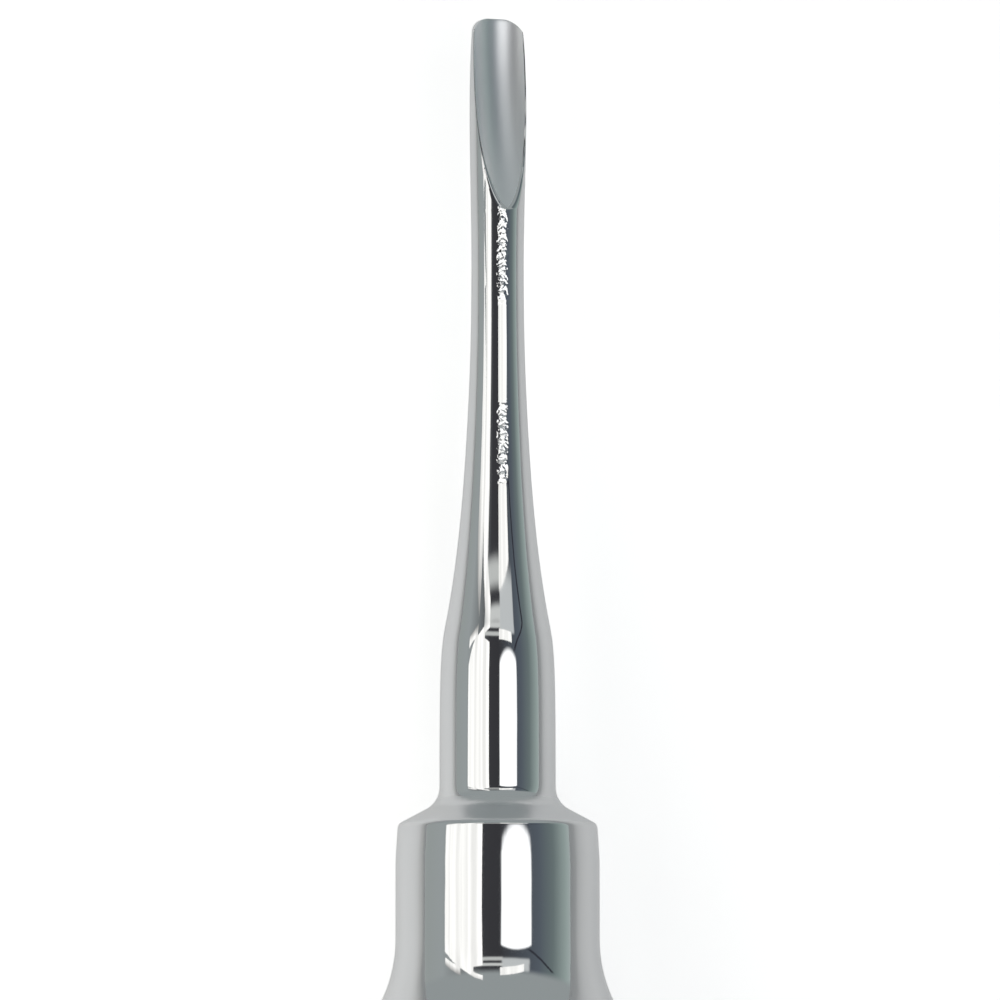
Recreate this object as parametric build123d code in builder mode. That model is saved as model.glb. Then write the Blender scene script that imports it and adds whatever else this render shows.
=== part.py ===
from build123d import *
import os
from math import cos, radians, sin, tan

# Straight dental elevator with a gouge blade and a hollow eight-sided handle.
#
# The instrument lies on one flat of its grip. Its long axis runs along Y, the tip towards +Y, and
# stands at the height of the grip's flats above Z = 0. The gouge faces the ridge between two flats,
# half a flat's turn round from +Z towards +X. Distances along the instrument are measured back from
# the tip. Millimetres throughout.

# Places along the instrument, each measured back from the tip
overall_length = 152.0
waist_distance = 16.6
swell_distance = 25.7
taper_distance = 31.8
knee_distance = 37.65
seam_distance = 46.9
cone_foot_distance = 47.87
collar_full_distance = 51.4
flare_distance = 56.2

# Blade and gouge
blade_half_width = 1.76
tip_half_width = 1.60
tip_corner_radius = 1.32
tip_corner_margin = 0.10
tip_back_depth = 0.92
belly_distance = 6.0
belly_back_depth = 1.36
heel_distance = 11.1
heel_half_width = 1.66
heel_back_depth = 1.51
gouge_radius = 2.40
gouge_wheel_radius = 29.7
gouge_floor_depth = 0.43
gouge_deepest_distance = 1.0

# Shank and neck radii
waist_radius = 1.604
swell_radius = 1.893
taper_radius = 2.384
knee_radius = 3.28
knee_angle = 11.6
neck_radius = 3.53

# Tang and the bore that takes it
tang_radius = 2.40
tang_length = 13.4
tang_chamfer = 0.4
tang_clearance = 0.02
nose_bore_length = 14.0

# Nose, collar and flare of the handle
cone_angle = 62.0
nose_fillet_radius = 1.50
collar_edge_radius = 0.50
collar_radius = 6.19
collar_draft = 0.14
collar_blend_radius = 12.0
shoulder_angle = 36.0
flare_share = 0.54

# Grip and its hollow
flat_count = 8
across_flats = 17.4
ridge_height = 0.5
butt_chamfer = 0.9
grip_wall = 1.1
cavity_cone_length = 6.5

# End cap
cap_head_height = 2.2
cap_spigot_length = 4.0
cap_spigot_clearance = 0.02
cap_wall = 1.4

# Places worked out from the sizes above
tip_y = overall_length / 2
end_y = -overall_length / 2
axis_height = across_flats / 2
flat_turn = 360 / flat_count
gouge_turn = radians(flat_turn / 2)
across = Vector(cos(gouge_turn), 0, -sin(gouge_turn))
facing = Vector(sin(gouge_turn), 0, cos(gouge_turn))
long_axis = Axis((0, 0, axis_height), (0, 1, 0))
profile_plane = Plane.XY.offset(axis_height)
blade_plane = Plane(origin=(0, 0, axis_height), x_dir=across, z_dir=facing)


def back(distance):
    """The Y of a station that far back from the tip."""
    return tip_y - distance


def cross_section(distance):
    """A plane across the instrument, with its own Y in the direction that the gouge faces."""
    return Plane(origin=(0, back(distance), axis_height), x_dir=across, z_dir=(0, -1, 0))


os.makedirs("parts", exist_ok=True)

# Working end: blade, shank, neck and tang in one forging
seam_y = back(seam_distance)
neck_front_y = back(knee_distance) - (neck_radius - knee_radius) / tan(radians(knee_angle / 2))
tang_end_y = seam_y - tang_length

with BuildPart() as working_end:
    with BuildSketch(profile_plane):
        with BuildLine():
            taper = Spline(
                (waist_radius, back(waist_distance)),
                (swell_radius, back(swell_distance)),
                (taper_radius, back(taper_distance)),
                (knee_radius, back(knee_distance)),
                tangents=[(0, -1), (sin(radians(knee_angle)), -cos(radians(knee_angle)))],
            )
            knee = TangentArc(taper @ 1, (neck_radius, neck_front_y), tangent=taper % 1)
            Polyline(
                knee @ 1,
                (neck_radius, seam_y),
                (tang_radius, seam_y),
                (tang_radius, tang_end_y + tang_chamfer),
                (tang_radius - tang_chamfer, tang_end_y),
                (0, tang_end_y),
                (0, back(waist_distance)),
                taper @ 0,
            )
        make_face()
    revolve(axis=long_axis)

    # The blade before the gouge is ground: sections of two half ellipses that share a width
    blade_sections = (
        (waist_distance, waist_radius, waist_radius, waist_radius),
        (heel_distance, heel_half_width, heel_half_width, heel_back_depth),
        (belly_distance, blade_half_width, blade_half_width, belly_back_depth),
        (0, tip_half_width, tip_half_width, tip_back_depth),
    )
    for distance, half_width, front_height, back_depth in blade_sections:
        with BuildSketch(cross_section(distance)):
            with BuildLine():
                EllipticalCenterArc((0, 0), half_width, front_height, 0, arc_size=180)
                EllipticalCenterArc((0, 0), half_width, back_depth, 180, arc_size=180)
            make_face()
    loft()

    # The gouge is the groove that a round-edged grinding wheel leaves
    wheel_y = back(gouge_deepest_distance)
    wheel_height = gouge_wheel_radius - gouge_floor_depth
    wheel_centre = Vector(0, wheel_y, axis_height) + facing * wheel_height
    with BuildSketch(cross_section(gouge_deepest_distance)):
        with Locations((0, gouge_radius - gouge_floor_depth)):
            Circle(gouge_radius)
    revolve(axis=Axis(wheel_centre, across), mode=Mode.SUBTRACT)

    # Both corners of the tip are rounded, as seen from the gouge side
    outline_half_width = tip_half_width + tip_corner_margin
    corner_x = outline_half_width - tip_corner_radius
    corner_y = tip_y - tip_corner_radius
    with BuildSketch(blade_plane):
        with Locations((0, tip_y - tip_corner_radius / 2)):
            Rectangle(4 * blade_half_width, tip_corner_radius)
            Rectangle(2 * corner_x, tip_corner_radius, mode=Mode.SUBTRACT)
        with Locations((-corner_x, corner_y), (corner_x, corner_y)):
            Circle(tip_corner_radius, mode=Mode.SUBTRACT)
    extrude(amount=2 * blade_half_width, both=True, mode=Mode.SUBTRACT)

working_end.part.label = "working_end"
export_step(working_end.part, "parts/working_end.step")


# Handle: nose, collar, flare and grip in one shell, bored for the tang and hollow in the grip
cone_foot_y = back(cone_foot_distance)
collar_front_radius = collar_radius - collar_draft
cone_top_y = cone_foot_y - (collar_front_radius - neck_radius) / tan(radians(cone_angle))
flare_y = back(flare_distance)
bore_end_y = seam_y - nose_bore_length
cavity_front_y = bore_end_y - cavity_cone_length
butt_y = end_y + cap_head_height
tang_bore_radius = tang_radius + tang_clearance
cavity_radius = across_flats / 2 - grip_wall
ridge_radius = across_flats / 2 + ridge_height
butt_radius = ridge_radius - butt_chamfer
flare_rise = flare_share * (ridge_radius - collar_radius)
flare_radius = flare_rise / (1 - cos(radians(shoulder_angle)))
shoulder_length = (ridge_radius - collar_radius - flare_rise) / tan(radians(shoulder_angle))

with BuildPart() as handle:
    with BuildSketch(profile_plane):
        with BuildLine():
            nose = FilletPolyline(
                (neck_radius, seam_y),
                (neck_radius, cone_foot_y),
                (collar_front_radius, cone_top_y),
                (collar_radius, back(collar_full_distance)),
                (collar_radius, flare_y),
                radius=(nose_fillet_radius, collar_edge_radius, collar_blend_radius),
            )
            flare = JernArc(nose @ 1, (0, -1), flare_radius, shoulder_angle)
            Polyline(
                flare @ 1,
                (ridge_radius, (flare @ 1).Y - shoulder_length),
                (ridge_radius, butt_y + butt_chamfer),
                (butt_radius, butt_y),
                (cavity_radius, butt_y),
                (cavity_radius, cavity_front_y),
                (tang_bore_radius, bore_end_y),
                (tang_bore_radius, seam_y),
                nose @ 0,
            )
        make_face()
    revolve(axis=long_axis)

    # The grip's flats are the faces of a prism that the round form stands out of
    with BuildSketch(Plane(origin=(0, butt_y, axis_height), x_dir=(1, 0, 0), z_dir=(0, 1, 0))):
        RegularPolygon(across_flats / 2, flat_count, major_radius=False, rotation=flat_turn / 2)
    extrude(amount=overall_length, mode=Mode.INTERSECT)

handle.part.label = "handle"
export_step(handle.part, "parts/handle.step")


# End cap: a plug whose bevelled head seats on the handle's butt and carries its chamfer on
spigot_radius = cavity_radius - cap_spigot_clearance
spigot_y = butt_y + cap_spigot_length
end_radius = butt_radius - cap_head_height

with BuildPart() as end_cap:
    with BuildSketch(profile_plane):
        with BuildLine():
            Polyline(
                (0, end_y),
                (end_radius, end_y),
                (butt_radius, butt_y),
                (spigot_radius, butt_y),
                (spigot_radius, spigot_y),
                (spigot_radius - cap_wall, spigot_y),
                (spigot_radius - cap_wall, butt_y),
                (0, butt_y),
                (0, end_y),
            )
        make_face()
    revolve(axis=long_axis)

end_cap.part.label = "end_cap"
export_step(end_cap.part, "parts/end_cap.step")
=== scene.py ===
"""Looks of the straight dental elevator: fine steel surfaces, finishes, floor, light and camera.

Lengths are written in millimetres, as on the real instrument, and MM turns them into metres. The
long axis runs along Y at the height of the grip's flats. Distances along it are measured back from
the tip.
"""

import bpy
import numpy as np
from math import acos, ceil, cos, pi, radians, sin, sqrt, tan
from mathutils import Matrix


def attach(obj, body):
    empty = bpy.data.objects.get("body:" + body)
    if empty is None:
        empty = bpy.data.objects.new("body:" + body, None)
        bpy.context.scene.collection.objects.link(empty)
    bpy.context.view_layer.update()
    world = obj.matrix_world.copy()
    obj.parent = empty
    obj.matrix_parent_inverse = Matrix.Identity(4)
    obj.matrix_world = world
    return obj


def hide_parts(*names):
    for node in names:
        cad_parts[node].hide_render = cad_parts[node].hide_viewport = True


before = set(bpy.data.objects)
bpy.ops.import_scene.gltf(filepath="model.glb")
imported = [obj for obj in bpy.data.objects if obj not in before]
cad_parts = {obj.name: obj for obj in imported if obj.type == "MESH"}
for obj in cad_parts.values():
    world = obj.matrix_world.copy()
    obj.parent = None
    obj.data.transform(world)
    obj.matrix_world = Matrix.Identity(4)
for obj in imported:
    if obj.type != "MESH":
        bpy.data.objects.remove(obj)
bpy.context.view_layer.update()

MM = 0.001

# Sizes that the source of the solids has too
OVERALL_LENGTH = 152.0
ACROSS_FLATS = 17.4
FLAT_COUNT = 8
RIDGE_HEIGHT = 0.5
WAIST_DISTANCE = 16.6
SWELL_DISTANCE = 25.7
TAPER_DISTANCE = 31.8
KNEE_DISTANCE = 37.65
SEAM_DISTANCE = 46.9
CONE_FOOT_DISTANCE = 47.87
COLLAR_FULL_DISTANCE = 51.4
FLARE_DISTANCE = 56.2
BLADE_HALF_WIDTH = 1.76
TIP_HALF_WIDTH = 1.60
TIP_CORNER_RADIUS = 1.32
TIP_CORNER_MARGIN = 0.10
TIP_BACK_DEPTH = 0.92
BELLY_DISTANCE = 6.0
BELLY_BACK_DEPTH = 1.36
HEEL_DISTANCE = 11.1
HEEL_HALF_WIDTH = 1.66
HEEL_BACK_DEPTH = 1.51
GOUGE_RADIUS = 2.40
GOUGE_WHEEL_RADIUS = 29.7
GOUGE_FLOOR_DEPTH = 0.43
GOUGE_DEEPEST_DISTANCE = 1.0
WAIST_RADIUS = 1.604
SWELL_RADIUS = 1.893
TAPER_RADIUS = 2.384
KNEE_RADIUS = 3.28
KNEE_ANGLE = 11.6
NECK_RADIUS = 3.53
TANG_RADIUS = 2.40
TANG_LENGTH = 13.4
TANG_CHAMFER = 0.4
TANG_CLEARANCE = 0.02
NOSE_BORE_LENGTH = 14.0
CONE_ANGLE = 62.0
NOSE_FILLET_RADIUS = 1.50
COLLAR_EDGE_RADIUS = 0.50
COLLAR_RADIUS = 6.19
COLLAR_DRAFT = 0.14
COLLAR_BLEND_RADIUS = 12.0
SHOULDER_ANGLE = 36.0
FLARE_SHARE = 0.54
BUTT_CHAMFER = 0.9
GRIP_WALL = 1.1
CAVITY_CONE_LENGTH = 6.5
CAP_HEAD_HEIGHT = 2.2
CAP_SPIGOT_LENGTH = 4.0
CAP_SPIGOT_CLEARANCE = 0.02
CAP_WALL = 1.4

# Fineness of the meshes, and the small roundings that a polished edge has
ARC_STEP = radians(4)
STATION_STEP = 0.3
LONG_STEP = 1.2
BLADE_STEPS = 88
GOUGE_ROWS = 130
GOUGE_ROW_EASE = 1.8
EDGE_ROUNDING = 0.07
EDGE_ROUNDING_AT_RUN_OUT = 0.30
EDGE_WIDENS_FROM = 5.0
EDGE_STEPS = 5
RIM_ROUNDING = 0.07
RIM_STEPS = 4
SHARP_ANGLE = radians(14)
KNEE_STEP = 0.15
KNEE_ROUNDING = 0.45
KNEE_SAMPLES = 9
NECK_EASE = 1.7
CONE_FINISH_MARGIN = 0.25
TIP_WARP_LENGTH = 5.0
TIP_WARP_LEVELS = 25
TIP_WARP_ROUNDS = 8
FLARE_STEPS = 12
SHOULDER_STEPS = 16
BUTT_STEPS = 8
HALVINGS = 50
POINT_RADIUS = 0.001
WELD_DISTANCE = 0.0002

TIP_Y = OVERALL_LENGTH / 2
AXIS_HEIGHT = ACROSS_FLATS / 2
GOUGE_TURN = radians(180 / FLAT_COUNT)
ACROSS = np.array([cos(GOUGE_TURN), 0, -sin(GOUGE_TURN)])
FACING = np.array([sin(GOUGE_TURN), 0, cos(GOUGE_TURN)])


def place(u, v, distance):
    """The point, in metres, at u across the gouge and v towards where it faces, that far back."""
    point = ACROSS * u + FACING * v + np.array([0, TIP_Y - distance, AXIS_HEIGHT])
    return tuple(point * MM)


def mesh_piece(name, rows, materials, faces=None, material_of=None):
    """An object from rows of points, joined row to row, or from the faces given."""
    points = [p for row in rows for p in row]
    mesh = bpy.data.meshes.new(name)
    if faces is None:
        faces = grid_faces(len(rows), len(rows[0]))
    mesh.from_pydata(points, [], faces)
    for material in materials:
        mesh.materials.append(material)
    if material_of is not None:
        mesh.polygons.foreach_set("material_index", material_of)
    mesh.update()
    piece = bpy.data.objects.new(name, mesh)
    bpy.context.scene.collection.objects.link(piece)
    weld = piece.modifiers.new("weld", "WELD")
    weld.merge_threshold = WELD_DISTANCE * MM
    with bpy.context.temp_override(object=piece, active_object=piece, selected_objects=[piece]):
        bpy.ops.object.modifier_apply(modifier="weld")
    piece.data.shade_smooth()
    piece.data.set_sharp_from_angle(angle=SHARP_ANGLE)
    return piece


def grid_faces(row_count, row_length, first=0):
    """Quads between neighbouring rows whose last point is followed by the first."""
    faces = []
    for i in range(row_count - 1):
        for j in range(row_length):
            a = first + i * row_length + j
            b = first + i * row_length + (j + 1) % row_length
            faces.append((a, b, b + row_length, a + row_length))
    return faces


def cubic_through(points):
    """The cubic, or lower, curve through a few (distance, value) points."""
    at = np.array([p[0] for p in points])
    value = np.array([p[1] for p in points])
    return np.poly1d(np.polyfit(at, value, len(points) - 1))


def clamped_spline(at, value, start_slope, end_slope):
    """A smooth curve through the points with set slopes at its ends, as a function."""
    at, value = np.array(at), np.array(value)
    n = len(at)
    matrix, right = np.zeros((n, n)), np.zeros(n)
    matrix[0, 0] = matrix[-1, -1] = 1
    right[0], right[-1] = start_slope, end_slope
    for i in range(1, n - 1):
        before, after = at[i] - at[i - 1], at[i + 1] - at[i]
        matrix[i, i - 1:i + 2] = after, 2 * (before + after), before
        rise_before = after * (value[i] - value[i - 1]) / before
        rise_after = before * (value[i + 1] - value[i]) / after
        right[i] = 3 * (rise_before + rise_after)
    slope = np.linalg.solve(matrix, right)

    def curve(x):
        i = min(max(int(np.searchsorted(at, x)) - 1, 0), n - 2)
        h = at[i + 1] - at[i]
        t = (x - at[i]) / h
        return (
            value[i] * (1 + 2 * t) * (1 - t) ** 2
            + slope[i] * h * t * (1 - t) ** 2
            + value[i + 1] * t * t * (3 - 2 * t)
            + slope[i + 1] * h * t * t * (t - 1)
        )

    return curve


def rounded_outline(points, radii):
    """A polyline of (distance, radius) points with its inner corners rounded, as dense points."""
    outline = [np.array(points[0], float)]
    for before, corner, after, radius in zip(points, points[1:], points[2:], radii):
        before, corner, after = np.array(before), np.array(corner), np.array(after)
        a = (before - corner) / np.linalg.norm(before - corner)
        b = (after - corner) / np.linalg.norm(after - corner)
        half = acos(np.clip(a @ b, -1, 1)) / 2
        if radius == 0 or half > pi / 2 - 1e-6:
            outline.append(corner)
            continue
        centre = corner + (a + b) / np.linalg.norm(a + b) * radius / sin(half)
        start, end = corner + a * radius / tan(half), corner + b * radius / tan(half)
        turn = pi - 2 * half
        count = max(ceil(turn / ARC_STEP), 2)
        for k in range(count + 1):
            weight = k / count
            spoke = (start - centre) * sin((1 - weight) * turn) + (end - centre) * sin(weight * turn)
            outline.append(centre + spoke / sin(turn))
    outline.append(np.array(points[-1], float))
    return outline


def denser(outline):
    """The outline with its long straight runs divided, so that shading and ripples stay even."""
    result = [outline[0]]
    for a, b in zip(outline, outline[1:]):
        count = max(ceil(np.linalg.norm(b - a) / LONG_STEP), 1)
        result += [a + (b - a) * k / count for k in range(1, count + 1)]
    return result


# Working end: blade, gouge, shank, neck and tang
taper_radius_at = clamped_spline(
    (WAIST_DISTANCE, SWELL_DISTANCE, TAPER_DISTANCE, KNEE_DISTANCE),
    (WAIST_RADIUS, SWELL_RADIUS, TAPER_RADIUS, KNEE_RADIUS),
    0,
    tan(radians(KNEE_ANGLE)),
)
half_width_at = cubic_through(
    (
        (0, TIP_HALF_WIDTH),
        (BELLY_DISTANCE, BLADE_HALF_WIDTH),
        (HEEL_DISTANCE, HEEL_HALF_WIDTH),
        (WAIST_DISTANCE, WAIST_RADIUS),
    )
)
back_depth_at = cubic_through(
    (
        (0, TIP_BACK_DEPTH),
        (BELLY_DISTANCE, BELLY_BACK_DEPTH),
        (HEEL_DISTANCE, HEEL_BACK_DEPTH),
        (WAIST_DISTANCE, WAIST_RADIUS),
    )
)
WHEEL_HEIGHT = GOUGE_WHEEL_RADIUS - GOUGE_FLOOR_DEPTH


def gouge_height(u, distance):
    """How high the groove's surface is at u across it, that far back from the tip."""
    wheel_reach = GOUGE_WHEEL_RADIUS - GOUGE_RADIUS + sqrt(max(GOUGE_RADIUS**2 - u * u, 0))
    return WHEEL_HEIGHT - sqrt(wheel_reach**2 - (distance - GOUGE_DEEPEST_DISTANCE) ** 2)


def edge_angle(distance):
    """The angle from the middle of the gouge to its edge on the blade's round front, by halving."""
    width = half_width_at(distance)
    low, high = 0.0, pi / 2
    if gouge_height(0, distance) >= width:
        return 0.0
    for _ in range(HALVINGS):
        middle = (low + high) / 2
        inside = gouge_height(width * sin(middle), distance) < width * cos(middle)
        low, high = (middle, high) if inside else (low, middle)
    return low


def run_out_distance():
    """Where the groove's floor comes out of the blade's front, by halving."""
    low, high = BELLY_DISTANCE, WAIST_DISTANCE
    for _ in range(HALVINGS):
        middle = (low + high) / 2
        inside = gouge_height(0, middle) < half_width_at(middle)
        low, high = (middle, high) if inside else (low, middle)
    return low


RUN_OUT = run_out_distance()


def blade_outer(angle, distance):
    """The point (u, v) of the blade's outside at an angle from the way that the gouge faces."""
    width = half_width_at(distance)
    height = width if cos(angle) > 0 else back_depth_at(distance)
    return np.array([width * sin(angle), height * cos(angle)])


def blade_section(distance, inset=0.0):
    """Points round the blade at one distance: outside, edge, groove, edge."""
    theta = edge_angle(distance)
    width = half_width_at(distance)
    share = min(max((distance - EDGE_WIDENS_FROM) / (RUN_OUT - EDGE_WIDENS_FROM), 0), 1)
    rounding = EDGE_ROUNDING + (EDGE_ROUNDING_AT_RUN_OUT - EDGE_ROUNDING) * share**2
    half_groove = width * sin(theta)
    start = theta + min(rounding, half_groove) / width
    outside = [
        blade_outer(start + (2 * pi - 2 * start) * k / BLADE_STEPS, distance)
        for k in range(BLADE_STEPS + 1)
    ]
    reach = max(half_groove - rounding, 0)
    groove = [
        np.array([u, gouge_height(u, distance)])
        for u in (-reach * cos(pi * k / BLADE_STEPS) for k in range(BLADE_STEPS + 1))
    ]
    edge = np.array([half_groove, gouge_height(half_groove, distance)])
    left_edge = edge * [-1, 1]

    def bend(a, corner, b):
        steps = [(k + 1) / (EDGE_STEPS + 1) for k in range(EDGE_STEPS)]
        return [a * (1 - t) ** 2 + corner * 2 * t * (1 - t) + b * t * t for t in steps]

    ring = outside + bend(outside[-1], left_edge, groove[0]) + groove
    ring += bend(groove[-1], edge, outside[0])
    if inset:
        ring = inset_ring(ring, inset)
    return ring


def inset_ring(ring, inset):
    """The ring moved into the metal by inset."""
    ring = np.array(ring)
    along = np.roll(ring, -1, axis=0) - np.roll(ring, 1, axis=0)
    along /= np.maximum(np.linalg.norm(along, axis=1, keepdims=True), 1e-9)
    inward = np.stack([along[:, 1], -along[:, 0]], axis=1)
    return list(ring + inward * inset)


def tip_cut(u):
    """How far back the rounded corners of the tip start at u across the blade."""
    corner_u = TIP_HALF_WIDTH + TIP_CORNER_MARGIN - TIP_CORNER_RADIUS
    over = min(max(abs(u) - corner_u, 0), TIP_CORNER_RADIUS)
    return TIP_CORNER_RADIUS - sqrt(TIP_CORNER_RADIUS**2 - over * over)


def warped_row(distance, inset=0.0):
    """The blade's ring at a distance, its points drawn back to the tip's rounded outline."""
    fade = max(1 - distance / TIP_WARP_LENGTH, 0) ** 2
    ring = blade_section(distance, inset)
    if fade == 0:
        return [place(u, v, distance) for u, v in ring]
    levels = np.linspace(0, TIP_CORNER_RADIUS, TIP_WARP_LEVELS)
    rings = np.array([blade_section(distance + level * fade, inset) for level in levels])
    row = []
    for k in range(len(ring)):
        shift = 0.0
        for _ in range(TIP_WARP_ROUNDS):
            u = np.interp(shift, levels, rings[:, k, 0])
            shift = 0.5 * (shift + tip_cut(u))
        u = np.interp(shift, levels, rings[:, k, 0])
        v = np.interp(shift, levels, rings[:, k, 1])
        row.append(place(u, v, distance + shift * fade))
    return row


def round_row(radius, distance, count):
    """A plain ring round the long axis that starts and ends where the gouge faces."""
    return [
        place(radius * sin(2 * pi * k / count), radius * cos(2 * pi * k / count), distance)
        for k in range(count)
    ]


def sharp_shank_radius_at(back):
    """The shank's radius up to the knee, and behind it the neck's, which it reaches by degrees."""
    if back < KNEE_DISTANCE:
        return taper_radius_at(back)
    short_of_neck = (NECK_RADIUS - KNEE_RADIUS) * np.exp((KNEE_DISTANCE - back) / NECK_EASE)
    return NECK_RADIUS - short_of_neck


def shank_radius_at(back):
    """The same with the knee polished over: the mean over a short stretch."""
    if back < WAIST_DISTANCE + KNEE_ROUNDING:
        return sharp_shank_radius_at(back)
    stretch = np.linspace(-KNEE_ROUNDING, KNEE_ROUNDING, KNEE_SAMPLES)
    return float(np.mean([sharp_shank_radius_at(back + offset) for offset in stretch]))


def make_working_end(polished, ground):
    """The one forging that goes from the tip of the blade to the end of the tang."""
    outside_count = BLADE_STEPS + 1
    groove_first = outside_count + EDGE_STEPS
    ring_count = 2 * (BLADE_STEPS + 1) + 2 * EDGE_STEPS

    rows = []
    for k in range(RIM_STEPS):
        turned = radians(90 * k / RIM_STEPS)
        rows.append(warped_row(RIM_ROUNDING * (1 - cos(turned)), RIM_ROUNDING * (1 - sin(turned))))
    for k in range(GOUGE_ROWS + 1):
        share = 1 - (1 - k / GOUGE_ROWS) ** GOUGE_ROW_EASE
        rows.append(warped_row(RIM_ROUNDING + (RUN_OUT - RIM_ROUNDING) * share))
    points = [p for row in rows for p in row]
    faces = grid_faces(len(rows), ring_count)
    groove_last = groove_first + BLADE_STEPS
    material_round = [1 if groove_first <= j < groove_last else 0 for j in range(ring_count)]
    material_of = material_round * (len(rows) - 1)

    # The tip's end face lies between the outside and the groove
    for j in range(BLADE_STEPS):
        across = groove_last - j
        faces.append((j + 1, j, across, across - 1))
        material_of.append(0)
    left_bend = list(range(outside_count - 1, groove_first + 1))
    right_bend = list(range(groove_last, ring_count)) + [0]
    for bend in (left_bend, right_bend):
        faces.append(tuple(reversed(bend)))
        material_of.append(0)

    # Behind the run-out the ring is whole, so the groove's points are left out
    first = len(points)
    whole_rows = []
    for back in np.arange(RUN_OUT, WAIST_DISTANCE, STATION_STEP):
        ring = [blade_outer(2 * pi * k / BLADE_STEPS, back) for k in range(BLADE_STEPS)]
        whole_rows.append([place(u, v, back) for u, v in ring])
    tang_end = SEAM_DISTANCE + TANG_LENGTH
    stations = np.arange(WAIST_DISTANCE, SEAM_DISTANCE, KNEE_STEP)
    profile = [(back, shank_radius_at(back)) for back in stations]
    profile += [
        (SEAM_DISTANCE, NECK_RADIUS),
        (SEAM_DISTANCE, TANG_RADIUS),
        (tang_end - TANG_CHAMFER, TANG_RADIUS),
        (tang_end, TANG_RADIUS - TANG_CHAMFER),
        (tang_end, POINT_RADIUS),
    ]
    whole_rows += [round_row(radius, back, BLADE_STEPS) for back, radius in profile]
    for row in whole_rows:
        points += row
    whole_faces = grid_faces(len(whole_rows), BLADE_STEPS, first)
    faces += whole_faces
    material_of += [0] * len(whole_faces)
    return mesh_piece("forged_end", [points], [polished, ground], faces, material_of)


# Handle and end cap, both turned, the handle with its flats ground after
def grip_ring(radius, back, flats):
    """One ring of the handle, with points on the borders between each flat and its neighbours."""
    flat_steps, ridge_steps = 8, 4
    sector = 2 * pi / FLAT_COUNT
    border = acos(AXIS_HEIGHT / radius) if flats and radius > AXIS_HEIGHT else 0.0
    ring = []
    for side in range(FLAT_COUNT):
        middle = side * sector
        for k in range(flat_steps):
            angle = -border + 2 * border * k / flat_steps
            reach = AXIS_HEIGHT / cos(angle) if border else radius
            ring.append((middle + angle, reach))
        for k in range(ridge_steps):
            ring.append((middle + border + (sector - 2 * border) * k / ridge_steps, radius))
    return [
        (reach * sin(angle) * MM, (TIP_Y - back) * MM, (AXIS_HEIGHT + reach * cos(angle)) * MM)
        for angle, reach in ring
    ]


def make_handle(polished, ground):
    """The hollow steel shell that carries the nose, collar, flare and eight-sided grip."""
    ridge_radius = AXIS_HEIGHT + RIDGE_HEIGHT
    butt_radius = ridge_radius - BUTT_CHAMFER
    butt = OVERALL_LENGTH - CAP_HEAD_HEIGHT
    collar_front = COLLAR_RADIUS - COLLAR_DRAFT
    cone_top = CONE_FOOT_DISTANCE + (collar_front - NECK_RADIUS) / tan(radians(CONE_ANGLE))
    nose = rounded_outline(
        [
            (SEAM_DISTANCE, NECK_RADIUS),
            (CONE_FOOT_DISTANCE, NECK_RADIUS),
            (cone_top, collar_front),
            (COLLAR_FULL_DISTANCE, COLLAR_RADIUS),
            (FLARE_DISTANCE, COLLAR_RADIUS),
        ],
        [NOSE_FILLET_RADIUS, COLLAR_EDGE_RADIUS, COLLAR_BLEND_RADIUS],
    )
    flare_rise = FLARE_SHARE * (ridge_radius - COLLAR_RADIUS)
    flare_radius = flare_rise / (1 - cos(radians(SHOULDER_ANGLE)))
    flare = [
        np.array([FLARE_DISTANCE + flare_radius * sin(a), COLLAR_RADIUS + flare_radius * (1 - cos(a))])
        for a in np.linspace(0, radians(SHOULDER_ANGLE), FLARE_STEPS + 1)[1:]
    ]
    shoulder_length = (ridge_radius - COLLAR_RADIUS - flare_rise) / tan(radians(SHOULDER_ANGLE))
    shoulder_end = flare[-1][0] + shoulder_length
    shoulder_run = np.array([shoulder_end, ridge_radius]) - flare[-1]
    shoulder = [flare[-1] + shoulder_run * k / SHOULDER_STEPS for k in range(1, SHOULDER_STEPS + 1)]
    butt_start = np.array([butt - BUTT_CHAMFER, ridge_radius])
    butt_run = np.array([BUTT_CHAMFER, -BUTT_CHAMFER])
    butt_edge = [butt_start + butt_run * k / BUTT_STEPS for k in range(BUTT_STEPS + 1)]
    bore_end = SEAM_DISTANCE + NOSE_BORE_LENGTH
    bore_radius = TANG_RADIUS + TANG_CLEARANCE
    cavity_radius = AXIS_HEIGHT - GRIP_WALL
    inside = [
        np.array(point)
        for point in (
            (butt, cavity_radius),
            (bore_end + CAVITY_CONE_LENGTH, cavity_radius),
            (bore_end, bore_radius),
            (SEAM_DISTANCE, bore_radius),
            (SEAM_DISTANCE, NECK_RADIUS),
        )
    ]
    outside = denser(nose) + flare + denser(shoulder + butt_edge)[1:]
    rows = [grip_ring(radius, back, True) for back, radius in outside]
    rows += [grip_ring(radius, back, False) for back, radius in inside]

    # The cone between the fillet and the collar is left as it was turned
    material_of = []
    for i in range(len(rows) - 1):
        back = outside[min(i, len(outside) - 1)][0]
        on_cone = CONE_FOOT_DISTANCE - CONE_FINISH_MARGIN <= back < cone_top
        material_of += [1 if on_cone else 0] * len(rows[0])
    return mesh_piece("steel_handle", rows, [polished, ground], material_of=material_of)


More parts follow.
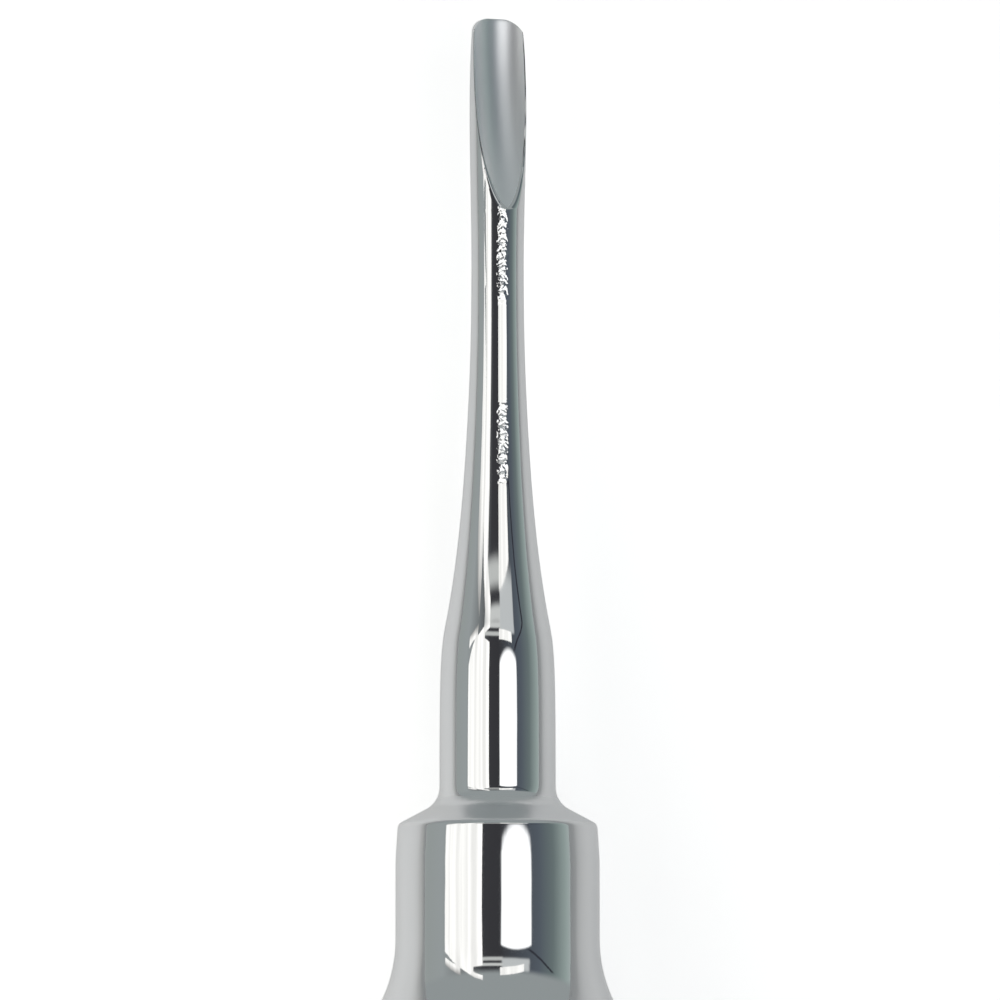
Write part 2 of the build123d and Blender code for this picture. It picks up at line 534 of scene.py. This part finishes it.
def make_end_cap(polished):
    """The plug that closes the butt, its bevelled head and its spigot in one."""
    butt = OVERALL_LENGTH - CAP_HEAD_HEIGHT
    butt_radius = AXIS_HEIGHT + RIDGE_HEIGHT - BUTT_CHAMFER
    spigot_radius = AXIS_HEIGHT - GRIP_WALL - CAP_SPIGOT_CLEARANCE
    spigot = butt - CAP_SPIGOT_LENGTH
    end_radius = butt_radius - CAP_HEAD_HEIGHT
    outline = [
        (OVERALL_LENGTH, POINT_RADIUS),
        (OVERALL_LENGTH, end_radius),
        (butt, butt_radius),
        (butt, spigot_radius),
        (spigot, spigot_radius),
        (spigot, spigot_radius - CAP_WALL),
        (butt, spigot_radius - CAP_WALL),
        (butt, POINT_RADIUS),
    ]
    rows = [grip_ring(radius, back, False) for back, radius in reversed(outline)]
    return mesh_piece("plug_cap", rows, [polished])


def node_maker(tree):
    """A short way to add a node with set inputs to a node tree."""

    def make(kind, inputs=None, **settings):
        node = tree.nodes.new(kind)
        for name, value in settings.items():
            setattr(node, name, value)
        for name, value in (inputs or {}).items():
            if hasattr(value, "is_output"):
                tree.links.new(value, node.inputs[name])
            else:
                node.inputs[name].default_value = value
        return node

    return make


def stretch_mask(make, value, low, high, blur):
    """One between low and high, nothing outside, with soft ends."""
    cover = None
    for edge, sign in ((low, 1), (high, -1)):
        step = make(
            "ShaderNodeMapRange",
            {"Value": value, "From Min": edge - blur * sign, "From Max": edge + blur * sign},
            interpolation_type="SMOOTHSTEP",
        ).outputs["Result"]
        cover = step if cover is None else math_node(make, "MULTIPLY", cover, step)
    return cover


def math_node(make, operation, *values):
    """The output of one Math node."""
    return make("ShaderNodeMath", dict(enumerate(values)), operation=operation).outputs[0]


# Finishes: colours of bare steel, and the scale and depth of what grinding and polishing leave in it
POLISHED_COLOUR = (0.78, 0.79, 0.80)
GROUND_COLOUR = (0.88, 0.90, 0.92)
MICROMETRE = 1e-6
WAVE_SCALE = 600
WAVE_STRETCH = (1, 0.5, 1)
STREAK_SCALE = 4000
STREAK_STRETCH = (1, 0.02, 1)
PITTED_STRETCHES = ((11.8, 17.4), (24.0, 28.4))
PITTED_LEFT = 0.0
PITTED_RIGHT = 0.58
PITTED_END_BLUR = 0.6
PITTED_SIDE_BLUR = 0.12
PITTED_HEIGHT_BLUR = 0.1
PITTING_SCALE = 3000
PITTING_DEPTH = 90


def steel(name, colour, roughness, ripple, streak, pitted=False):
    """Stainless steel with the slight unevenness of hand polishing and fine streaks along it.

    Ripple and streak are how far the surface rises and falls, in micrometres.
    """
    material = bpy.data.materials.new(name)
    material.use_nodes = True
    tree = material.node_tree
    shader = tree.nodes["Principled BSDF"]
    make = node_maker(tree)
    shader.inputs["Metallic"].default_value = 1.0
    shader.inputs["Base Color"].default_value = (*colour, 1)
    shader.inputs["Roughness"].default_value = roughness
    at = make("ShaderNodeTexCoord").outputs["Object"]
    long_waves = make("ShaderNodeMapping", {"Vector": at, "Scale": WAVE_STRETCH}).outputs["Vector"]
    waves = make("ShaderNodeTexNoise", {"Vector": long_waves, "Scale": WAVE_SCALE, "Detail": 1})
    along = make("ShaderNodeMapping", {"Vector": at, "Scale": STREAK_STRETCH}).outputs["Vector"]
    lines = make("ShaderNodeTexNoise", {"Vector": along, "Scale": STREAK_SCALE, "Detail": 2})
    rippled = make("ShaderNodeBump", {"Height": waves.outputs["Fac"], "Distance": ripple * MICROMETRE})
    surface = make(
        "ShaderNodeBump",
        {
            "Height": lines.outputs["Fac"],
            "Distance": streak * MICROMETRE,
            "Normal": rippled.outputs["Normal"],
        },
    )
    if pitted:
        surface = pitted_surface(make, at, surface)
    tree.links.new(surface.outputs["Normal"], shader.inputs["Normal"])
    return material


def pitted_surface(make, at, under):
    """Two short rows of coarse polishing marks on the front of the shank, over what lies under."""
    parts = make("ShaderNodeSeparateXYZ", {"Vector": at}).outputs
    marks = make("ShaderNodeTexNoise", {"Vector": at, "Scale": PITTING_SCALE, "Detail": 1.5})
    rows = [
        stretch_mask(make, parts["Y"], (TIP_Y - far) * MM, (TIP_Y - near) * MM, PITTED_END_BLUR * MM)
        for near, far in PITTED_STRETCHES
    ]
    across = stretch_mask(make, parts["X"], PITTED_LEFT * MM, PITTED_RIGHT * MM, PITTED_SIDE_BLUR * MM)
    above = stretch_mask(make, parts["Z"], AXIS_HEIGHT * MM, 1, PITTED_HEIGHT_BLUR * MM)
    mask = math_node(make, "MULTIPLY", math_node(make, "MAXIMUM", *rows), across)
    mask = math_node(make, "MULTIPLY", mask, above)
    level = math_node(make, "SUBTRACT", marks.outputs["Fac"], 0.5)
    height = math_node(make, "MULTIPLY", level, mask)
    return make(
        "ShaderNodeBump",
        {"Height": height, "Distance": PITTING_DEPTH * MICROMETRE, "Normal": under.outputs["Normal"]},
    )


polished_steel = steel("polished_steel_finish", POLISHED_COLOUR, 0.04, 6, 0.5, pitted=True)
turned_steel = steel("turned_steel_finish", POLISHED_COLOUR, 0.05, 6, 1.0)
ground_steel = steel("ground_steel_finish", GROUND_COLOUR, 0.36, 8, 3)
cone_steel = steel("turned_cone_finish", POLISHED_COLOUR, 0.28, 6, 3)

forged_end = make_working_end(polished_steel, ground_steel)
steel_handle = make_handle(turned_steel, cone_steel)
plug_cap = make_end_cap(turned_steel)
for piece, node in ((forged_end, "working_end"), (steel_handle, "handle"), (plug_cap, "end_cap")):
    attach(piece, "root")
    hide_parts(node)


# Floor, white to the camera and pale in the steel, with a painted reflection: an extra glow that only
# the steel's reflections see, more so close to the instrument
FLOOR_SIZE = 3.0
FLOOR_TONE = (0.70, 0.70, 0.70)
FLOOR_GLOW = 0.64
FLOOR_GLOW_IN_STEEL = 0.20
GLOW_NEAR = 20
GLOW_FAR = 80


def make_floor():
    """The pale floor that the instrument lies on."""
    bpy.ops.mesh.primitive_plane_add(size=FLOOR_SIZE, location=(0, 0, 0))
    floor = bpy.context.object
    floor.name = "floor"
    material = bpy.data.materials.new("pale_floor")
    material.use_nodes = True
    tree = material.node_tree
    make = node_maker(tree)
    shader = tree.nodes["Principled BSDF"]
    shader.inputs["Base Color"].default_value = (*FLOOR_TONE, 1)
    shader.inputs["Roughness"].default_value = 0.9
    shader.inputs["Specular IOR Level"].default_value = 0.0
    shader.inputs["Emission Color"].default_value = (1, 1, 1, 1)
    ray = make("ShaderNodeLightPath").outputs
    at = make("ShaderNodeTexCoord").outputs["Object"]
    parts = make("ShaderNodeSeparateXYZ", {"Vector": at}).outputs
    # Painted reflection: floor glow seen only by glossy rays, strongest near the instrument and gone
    # further out
    near_glow = make(
        "ShaderNodeMapRange",
        {
            "Value": math_node(make, "ABSOLUTE", parts["X"]),
            "From Min": GLOW_NEAR * MM,
            "From Max": GLOW_FAR * MM,
            "To Min": FLOOR_GLOW_IN_STEEL,
            "To Max": 0.0,
        },
    ).outputs["Result"]
    glossy_glow = math_node(make, "MULTIPLY", near_glow, ray["Is Glossy Ray"])
    glow = math_node(make, "MULTIPLY_ADD", ray["Is Camera Ray"], FLOOR_GLOW, glossy_glow)
    tree.links.new(glow, shader.inputs["Emission Strength"])
    floor.data.materials.append(material)
    return floor


make_floor()

# The grey of the room round the long axis, by the turn from straight up towards +X in degrees
ROOM_GREYS = (
    (-180, (0.60, 0.60, 0.60)),
    (-100, (0.60, 0.61, 0.60)),
    (-88, (0.36, 0.39, 0.38)),
    (-66, (0.37, 0.40, 0.40)),
    (-18, (0.050, 0.050, 0.055)),
    (2, (0.045, 0.045, 0.050)),
    (48, (0.105, 0.125, 0.150)),
    (66, (0.16, 0.20, 0.20)),
    (84, (0.34, 0.41, 0.39)),
    (104, (0.62, 0.66, 0.66)),
    (180, (0.60, 0.60, 0.60)),
)

# What stands out of it: light, range of turn, range of lean towards the tip, softness, slant, bow
ROOM_PANELS = (
    ((1.45, 1.45, 1.45), (4, 38.5), (-70, 12.2), 1.2, 0, 0.011),
    ((0.62, 0.64, 0.64), (5, 37), (19.5, 30), 1.5, 0, 0),
    ((0.62, 0.63, 0.61), (-30, 6), (18.6, 21.4), 0.8, 0, 0),
    ((0.70, 0.71, 0.69), (-30, 6), (23.6, 25.8), 0.6, 0, 0),
    ((0.03, 0.03, 0.04), (10.5, 14), (11.5, 27), 0.8, 2.0, 0),
    ((0.34, 0.37, 0.37), (-180, 180), (30, 90), 3.0, 0, 0),
)


def make_room():
    """The world, whose light depends on the turn about the long axis and the lean towards the tip."""
    world = bpy.data.worlds.new("studio")
    bpy.context.scene.world = world
    world.use_nodes = True
    tree = world.node_tree
    make = node_maker(tree)
    direction = make("ShaderNodeTexCoord").outputs["Generated"]
    parts = make("ShaderNodeSeparateXYZ", {"Vector": direction}).outputs
    turn = math_node(make, "MULTIPLY", math_node(make, "ARCTAN2", parts["X"], parts["Z"]), 180 / pi)
    lean = math_node(make, "MULTIPLY", math_node(make, "ARCSINE", parts["Y"]), 180 / pi)
    place_on_ramp = make("ShaderNodeMapRange", {"Value": turn, "From Min": -180, "From Max": 180})
    ramp = make("ShaderNodeValToRGB", {"Fac": place_on_ramp.outputs["Result"]})
    elements = ramp.color_ramp.elements
    while len(elements) < len(ROOM_GREYS):
        elements.new(0.5)
    for element, (angle, grey) in zip(elements, ROOM_GREYS):
        element.position = (angle + 180) / 360
        element.color = (*grey, 1)
    colour = ramp.outputs["Color"]
    for light, turn_range, lean_range, blur, slant, bow in ROOM_PANELS:
        shifted_turn = math_node(make, "MULTIPLY_ADD", lean, -slant, turn) if slant else turn
        shifted_lean = lean
        if bow:
            off_middle = math_node(make, "SUBTRACT", turn, sum(turn_range) / 2)
            square = math_node(make, "MULTIPLY", off_middle, off_middle)
            shifted_lean = math_node(make, "MULTIPLY_ADD", square, bow, lean)
        across = stretch_mask(make, shifted_turn, *turn_range, blur)
        up = stretch_mask(make, shifted_lean, *lean_range, blur)
        cover = math_node(make, "MULTIPLY", across, up)
        mix = make("ShaderNodeMix", {"Factor": cover, "A": colour, "B": (*light, 1)}, data_type="RGBA")
        colour = mix.outputs["Result"]
    tree.links.new(colour, tree.nodes["Background"].inputs["Color"])


make_room()

# A large diffuser left of the middle and two strips, near enough to shift along the instrument
DIFFUSER_HEIGHT = 100
DIFFUSER_LEFT = DIFFUSER_HEIGHT * tan(radians(-61))
DIFFUSER_RIGHT = DIFFUSER_HEIGHT * tan(radians(-17))
DIFFUSER_NOTCH = DIFFUSER_HEIGHT * tan(radians(-27))
SIDE_RIGHT = DIFFUSER_HEIGHT * tan(radians(-43))
STRIP_LEFT = DIFFUSER_HEIGHT * tan(radians(3))
STRIP_RIGHT = DIFFUSER_HEIGHT * tan(radians(30))
DIFFUSER_OUTLINES = (
    (
        (DIFFUSER_LEFT, -400),
        (DIFFUSER_RIGHT, -400),
        (DIFFUSER_RIGHT, 64),
        (DIFFUSER_NOTCH, 70),
        (DIFFUSER_NOTCH, 79),
        (DIFFUSER_RIGHT, 83),
        (DIFFUSER_RIGHT, 93),
        (DIFFUSER_LEFT, 64),
    ),
    ((STRIP_LEFT, 66), (STRIP_RIGHT, 66), (STRIP_RIGHT, 80), (STRIP_LEFT, 80)),
    ((DIFFUSER_LEFT, 78), (SIDE_RIGHT, 78), (SIDE_RIGHT, 98), (DIFFUSER_LEFT, 98)),
)
DIFFUSER_COLOUR = (1.0, 0.985, 0.95)
DIFFUSER_DIMMEST = 1.05
DIFFUSER_BRIGHTEST = 1.45
FOLD_SCALE = 60
FOLD_STRETCH = (1, 0.12, 1)
FADE_START = 84
FADE_END = 98
FADED_SHARE = 0.35


def make_diffuser():
    """The lit cloth over the instrument, in long soft folds, which fades towards the tip's end."""
    height = (AXIS_HEIGHT + DIFFUSER_HEIGHT) * MM
    corners, faces = [], []
    for outline in DIFFUSER_OUTLINES:
        faces.append(tuple(range(len(corners), len(corners) + len(outline))))
        corners += [(x * MM, y * MM, height) for x, y in outline]
    mesh = bpy.data.meshes.new("diffuser")
    mesh.from_pydata(corners, [], faces)
    diffuser = bpy.data.objects.new("diffuser", mesh)
    bpy.context.scene.collection.objects.link(diffuser)
    material = bpy.data.materials.new("lit_diffuser")
    material.use_nodes = True
    tree = material.node_tree
    tree.nodes.remove(tree.nodes["Principled BSDF"])
    make = node_maker(tree)
    at = make("ShaderNodeTexCoord").outputs["Object"]
    weave = make("ShaderNodeMapping", {"Vector": at, "Scale": FOLD_STRETCH}).outputs["Vector"]
    folds = make("ShaderNodeTexNoise", {"Vector": weave, "Scale": FOLD_SCALE, "Detail": 2})
    brightness = make(
        "ShaderNodeMapRange",
        {
            "Value": folds.outputs["Fac"],
            "From Min": 0.3,
            "From Max": 0.7,
            "To Min": DIFFUSER_DIMMEST,
            "To Max": DIFFUSER_BRIGHTEST,
        },
    ).outputs["Result"]
    fade = make(
        "ShaderNodeMapRange",
        {
            "Value": make("ShaderNodeSeparateXYZ", {"Vector": at}).outputs["Y"],
            "From Min": FADE_START * MM,
            "From Max": FADE_END * MM,
            "To Min": 1.0,
            "To Max": FADED_SHARE,
        },
    ).outputs["Result"]
    strength = math_node(make, "MULTIPLY", brightness, fade)
    light = make("ShaderNodeEmission", {"Color": (*DIFFUSER_COLOUR, 1), "Strength": strength})
    tree.links.new(light.outputs["Emission"], tree.nodes["Material Output"].inputs["Surface"])
    mesh.materials.append(material)
    diffuser.visible_camera = False
    return diffuser


make_diffuser()

# Camera over the instrument's middle, turned to its working end, at the photograph's scale
PIXELS = 1000
PIXELS_PER_MM = 16.45
AXIS_COLUMN = 497.6
CENTRE_Y = 46.5
CAMERA_DISTANCE = 600
CAMERA_LEAN = radians(4.4)
NEAREST_SEEN = 10


def make_camera():
    """The scene's camera, which leans a little towards the butt from straight above."""
    camera_data = bpy.data.cameras.new("camera")
    camera = bpy.data.objects.new("camera", camera_data)
    bpy.context.scene.collection.objects.link(camera)
    bpy.context.scene.camera = camera
    view_width = PIXELS / PIXELS_PER_MM
    camera_data.lens = CAMERA_DISTANCE / view_width * camera_data.sensor_width
    camera_data.clip_start = NEAREST_SEEN * MM
    camera.location = (
        (PIXELS / 2 - AXIS_COLUMN) / PIXELS_PER_MM * MM,
        (CENTRE_Y - CAMERA_DISTANCE * sin(CAMERA_LEAN)) * MM,
        (AXIS_HEIGHT + CAMERA_DISTANCE * cos(CAMERA_LEAN)) * MM,
    )
    camera.rotation_euler = (CAMERA_LEAN, 0, 0)


make_camera()
bpy.context.scene.view_settings.view_transform = "Standard"
